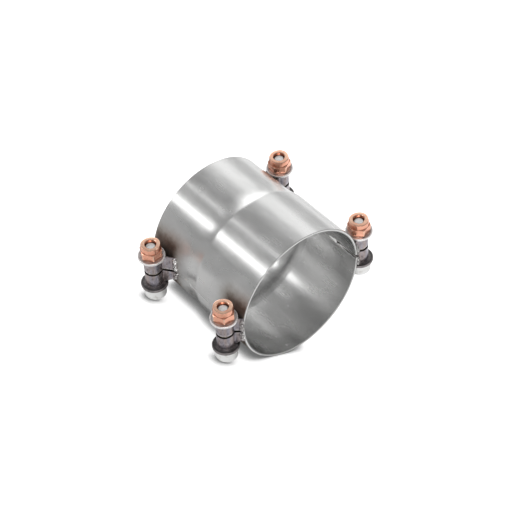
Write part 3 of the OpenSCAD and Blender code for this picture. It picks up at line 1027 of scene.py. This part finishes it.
def lock_nut(settings):
    """A nut about the bolt's axis: a chamfered hexagon below and a round crown above. Its profile
    runs from the foot of the bore outwards and up, and then down the bore. The rings between the
    ends of the crown's edge and of its mouth lie in and down by shares of their widths."""
    grip_from, edge_in, edge_down, mouth_in, mouth_down, thread_down = 0.6, 0.4, 0.2, 0.3, 0.4, 0.8
    slack = 0.01 * MM
    bm = bmesh.new()
    bottom, top = NUT_LOW.z, NUT_HIGH.z
    shoulder = bottom + settings.hex_h
    face_r = settings.across_flats / 2 - settings.flat_chamfer

    def side(height, way):
        def ring(angle):
            radius = min(hexagon_radius(settings.across_flats, angle), settings.corner_r)
            return radius, height + way * (radius - face_r) * tan(radians(30))
        return ring

    def squeezed(radius, height):
        return lambda angle: (radius - settings.squeeze * (0.5 - 0.5 * cos(3 * angle)), height)

    def is_corner(edge):
        a, b = (v.co for v in edge.verts)
        return abs(a.z - b.z) > MM and min(a.xy.length, b.xy.length) > settings.corner_r - slack

    def thread_ring(height, more):
        """The thread is drawn whole above the screw's end, and clears it round the screw."""
        return (settings.core_r if height > SCREW_HIGH.z else settings.bore_r) + more, height

    crown_r, edge, mouth = settings.crown_r, settings.crown_round, settings.mouth
    core_r, pitch = settings.core_r, settings.pitch
    rings = [(settings.bore_r + settings.lead_in, bottom), (face_r, bottom), side(bottom, 1),
             side(shoulder, -1), (face_r, shoulder), (crown_r, shoulder),
             (crown_r, shoulder + settings.joint_shade_h), (crown_r, shoulder + grip_from * (top - shoulder)),
             squeezed(crown_r, top - edge), squeezed(crown_r - edge_in * edge, top - edge_down * edge),
             squeezed(crown_r - edge, top), squeezed(core_r + mouth, top),
             squeezed(core_r + mouth_in * mouth, top - mouth_down * mouth)]
    thread = len(rings)
    depth = top - thread_down * mouth
    while depth > bottom + pitch:
        rings += [thread_ring(depth, 0), thread_ring(depth - pitch / 2, settings.thread_depth)]
        depth -= pitch
    rings += [(settings.bore_r, bottom + settings.lead_in), (settings.bore_r + settings.lead_in, bottom)]
    # The nut's foot, the corner below the crown and the bore are marked for painted shade; the crown's top edge
    # and mouth, and the hexagon's corners below, for painted highlights.
    shaded_rings = {0, 1, 4, 5, *range(thread + 1, len(rings))}
    loft(bm, rings, TURNED_STEPS, grime=shaded_rings, worn={9, 10, 11, 12})
    tidy(bm)
    round_edges(bm, is_corner, settings.corner_round, segments=2, clamp=False)
    bmesh.ops.recalc_face_normals(bm, faces=bm.faces)
    return bm


class SLEEVE_OT_nuts(bpy.types.Operator):
    """Makes the four copper-coloured lock nuts"""
    bl_idname = "sleeve.nuts"
    bl_label = "Lock nuts"

    def execute(self, context):
        settings = context.scene.sleeve_nuts
        copper = plated(
            "copper_flash", settings.copper, settings.stain, settings.highlighted,
            roughness=0.17, metallic=1.0, stained=0.5)
        for bolt in BOLTS:
            bm = lock_nut(settings)
            put(bm, Matrix.Translation((bolt.x, bolt.y, 0)) @ Matrix.Rotation(bolt.nut_angle(), 4, "Z"))
            new_piece(f"crowned_nut_{bolt.corner}", bm, f"nut_{bolt.corner}",
                      f"lock_nut_{bolt.corner}", copper, smooth_under=24)
        return {"FINISHED"}


# Each soft box faces the sleeve's middle: its angle from the floor at the back over the top, how far
# along the tube and how far off it stands, its length along the tube, its width and its level.
SOFT_BOXES = {
    "front_key": (156.9, -0.49, 0.80, 0.58, 0.125, 2.7),
    "front_glow": (157, -0.50, 0.85, 0.60, 0.50, 0.12),
    "front_sliver": (127, -0.506, 0.85, 0.56, 0.06, 1.4),
    "back_low": (8, -0.60, 0.90, 1.6, 0.30, 0.45),
    "back_fill": (47, -0.75, 1.10, 2.2, 2.0, 0.30),
    "back_wide": (63, -0.55, 0.80, 1.5, 0.40, 0.55),
    "far_card": (60, -0.946, 0.65, 0.425, 0.82, 0.9),
    "near_panel": (160, 0.75, 0.70, 0.7, 0.5, 3.2),
}
# Each card lies on the floor and faces up: its middle's x and y, its length, its width and its level.
CARDS = {
    "right_card": (0.20, 0.32, 0.30, 0.70, 0.5),
    "back_card": (-0.30, 0.42, 0.70, 0.60, 0.75),
    "front_card": (-0.015, -0.065, 0.29, 0.07, 0.3),
}


def lamp(name, matrix, run, width, level):
    """An area lamp that looks as bright as a white card of that level, unseen by the camera."""
    data = bpy.data.lights.new(name, "AREA")
    data.shape = "RECTANGLE"
    data.size, data.size_y = run, width
    data.energy = level * pi * run * width
    made = bpy.data.objects.new(name, data)
    made.matrix_world = matrix
    made.visible_camera = False
    bpy.context.collection.objects.link(made)


def soft_box(name, angle, along, away, run, width, level):
    spot = Vector((along, away * cos(radians(angle)), away * sin(radians(angle))))
    back = spot.normalized()
    side = (Vector((1, 0, 0)) - back * back.x).normalized()
    turn = Matrix((side, back.cross(side), back)).transposed().to_4x4()
    lamp(name, Matrix.Translation(spot + Vector((0, 0, AXIS_HEIGHT))) @ turn, run, width, level)


def floor_card(name, x, y, run, width, level):
    lamp(name, Matrix.Translation((x, y, MM)) @ Matrix.Rotation(pi, 4, "X"), run, width, level)


def pale_floor(settings):
    """A pale floor, which shows white to the camera but for its shadows, and a contact shade painted into
    its colour, darkest close to what stands on it."""
    material = bpy.data.materials.new("pale_floor")
    material.use_nodes = True
    tree = material.node_tree
    shader = tree.nodes["Principled BSDF"]
    shader.inputs["Roughness"].default_value = 1.0
    shader.inputs["Specular IOR Level"].default_value = 0.0
    # Ambient occlusion paints a contact shade into the floor's colour and fill, as the camera sees it.
    near = add_node(tree, "ShaderNodeAmbientOcclusion", {"Distance": settings.shade_reach}, samples=8)
    open_sky = remap(tree, near.outputs["AO"], 0.25, 0.95, settings.shade, 1.0)
    seen = add_node(tree, "ShaderNodeLightPath").outputs["Is Camera Ray"]
    tone = mix_colors(tree, open_sky, (0.0, 0.0, 0.0), settings.floor_seen)
    tree.links.new(mix_colors(tree, seen, settings.floor, tone), shader.inputs["Base Color"])
    shader.inputs["Emission Color"].default_value = (1, 1, 1, 1)
    fill = product(tree, open_sky, settings.floor_fill)
    tree.links.new(product(tree, seen, fill), shader.inputs["Emission Strength"])
    return material


def surround(settings):
    """A pale surround, white to the camera."""
    world = bpy.data.worlds.new("pale_surround")
    world.use_nodes = True
    tree = world.node_tree
    seen = add_node(tree, "ShaderNodeLightPath").outputs["Is Camera Ray"]
    level = remap(tree, seen, 0.0, 1.0, settings.surround, 1.0)
    tree.links.new(level, tree.nodes["Background"].inputs["Strength"])
    tree.nodes["Background"].inputs["Color"].default_value = (1, 1, 1, 1)
    return world


class SLEEVE_OT_stage(bpy.types.Operator):
    """Makes the floor, the soft light and the camera"""
    bl_idname = "sleeve.stage"
    bl_label = "Stage"

    def execute(self, context):
        settings = context.scene.sleeve_stage
        context.scene.world = surround(settings)
        context.scene.view_settings.view_transform = "Standard"
        bm = bmesh.new()
        bmesh.ops.create_grid(bm, x_segments=1, y_segments=1, size=settings.floor_half)
        new_object("floor", bm, pale_floor(settings))
        for name, values in SOFT_BOXES.items():
            soft_box(name, *values)
        for name, values in CARDS.items():
            floor_card(name, *values)
        camera = bpy.data.cameras.new("camera")
        camera.sensor_width = 36
        camera.lens = settings.lens
        camera.clip_start, camera.clip_end = 0.01, 50
        holder = bpy.data.objects.new("camera", camera)
        context.collection.objects.link(holder)
        turn = (Matrix.Rotation(settings.camera_azimuth + pi / 2, 4, "Z")
                @ Matrix.Rotation(pi / 2 - settings.camera_elevation, 4, "X")
                @ Matrix.Rotation(settings.camera_roll, 4, "Z"))
        away = Matrix.Translation((0, 0, settings.camera_distance))
        aim = Matrix.Translation(settings.camera_aim)
        holder.matrix_world = SLEEVE_TO_ROW @ aim @ turn @ away
        context.scene.camera = holder
        return {"FINISHED"}


OPERATORS = (
    SLEEVE_OT_half_shells, SLEEVE_OT_lugs, SLEEVE_OT_welds, SLEEVE_OT_screws,
    SLEEVE_OT_washers, SLEEVE_OT_nuts, SLEEVE_OT_stage,
)
SETTINGS = {
    "sleeve_shells": SleeveShellSettings,
    "sleeve_lugs": SleeveLugSettings,
    "sleeve_welds": SleeveWeldSettings,
    "sleeve_screws": SleeveScrewSettings,
    "sleeve_washers": SleeveWasherSettings,
    "sleeve_nuts": SleeveNutSettings,
    "sleeve_stage": SleeveStageSettings,
}


class SLEEVE_PT_panel(bpy.types.Panel):
    """Lists what makes the sleeve and its sizes and colours"""
    bl_idname = "SLEEVE_PT_panel"
    bl_label = "Exhaust pipe sleeve"
    bl_space_type = "VIEW_3D"
    bl_region_type = "UI"
    bl_category = "Sleeve"

    def draw(self, context):
        for operator, group in zip(OPERATORS, SETTINGS):
            box = self.layout.box()
            box.operator(operator.bl_idname)
            settings = getattr(context.scene, group)
            for name in settings.__annotations__:
                box.prop(settings, name)


def register():
    for kind in (*SETTINGS.values(), *OPERATORS, SLEEVE_PT_panel):
        bpy.utils.register_class(kind)
    for name, kind in SETTINGS.items():
        setattr(bpy.types.Scene, name, bpy.props.PointerProperty(type=kind))


def unregister():
    for name in SETTINGS:
        delattr(bpy.types.Scene, name)
    for kind in (*SETTINGS.values(), *OPERATORS, SLEEVE_PT_panel):
        bpy.utils.unregister_class(kind)


def main():
    register()
    bpy.ops.sleeve.half_shells()
    bpy.ops.sleeve.lugs()
    bpy.ops.sleeve.welds()
    bpy.ops.sleeve.screws()
    bpy.ops.sleeve.washers()
    bpy.ops.sleeve.nuts()
    bpy.ops.sleeve.stage()


if __name__ == "__main__":
    main()
